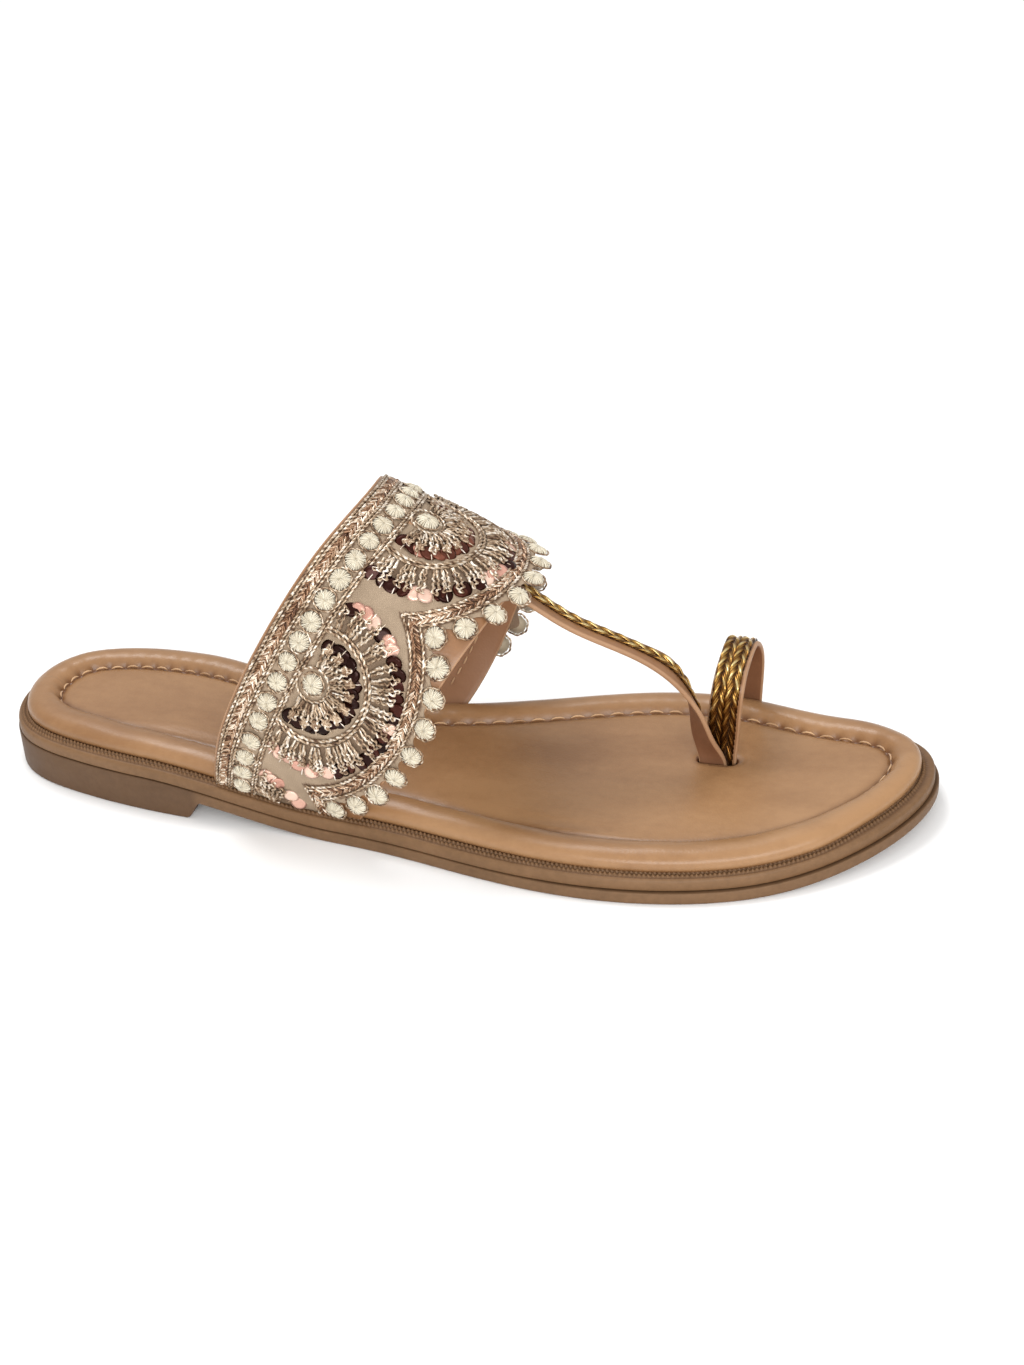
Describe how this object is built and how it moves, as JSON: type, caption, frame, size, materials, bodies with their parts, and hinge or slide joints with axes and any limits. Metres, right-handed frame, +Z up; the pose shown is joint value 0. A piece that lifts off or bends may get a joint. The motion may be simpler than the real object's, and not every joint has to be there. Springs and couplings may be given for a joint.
{
  "type": "kolhapuri sandal",
  "caption": "Flat leather sandal for the right foot: padded footbed on a welted low-heel sole, wide embroidered instep band, T-strap and big-toe loop.",
  "frame": {"origin": "centre of the bounding box in plan, on the floor plane the sole stands on", "axes": "+X from heel to toe, +Y to the medial side (the big-toe side), +Z up"},
  "size_m": [0.2496, 0.09, 0.086],
  "materials": {
    "outsole_rubber": "matt moulded sole",
    "welt_rubber": "matt moulded welt with a knurled strip",
    "footbed_leather": "smooth, slightly glossy",
    "upper_leather": "smooth, slightly glossy"
  },
  "bodies": {
    "root": {"outsole": "outsole_rubber", "midsole": "welt_rubber", "footbed": "footbed_leather", "upper": "upper_leather"}
  },
  "joints": []
}
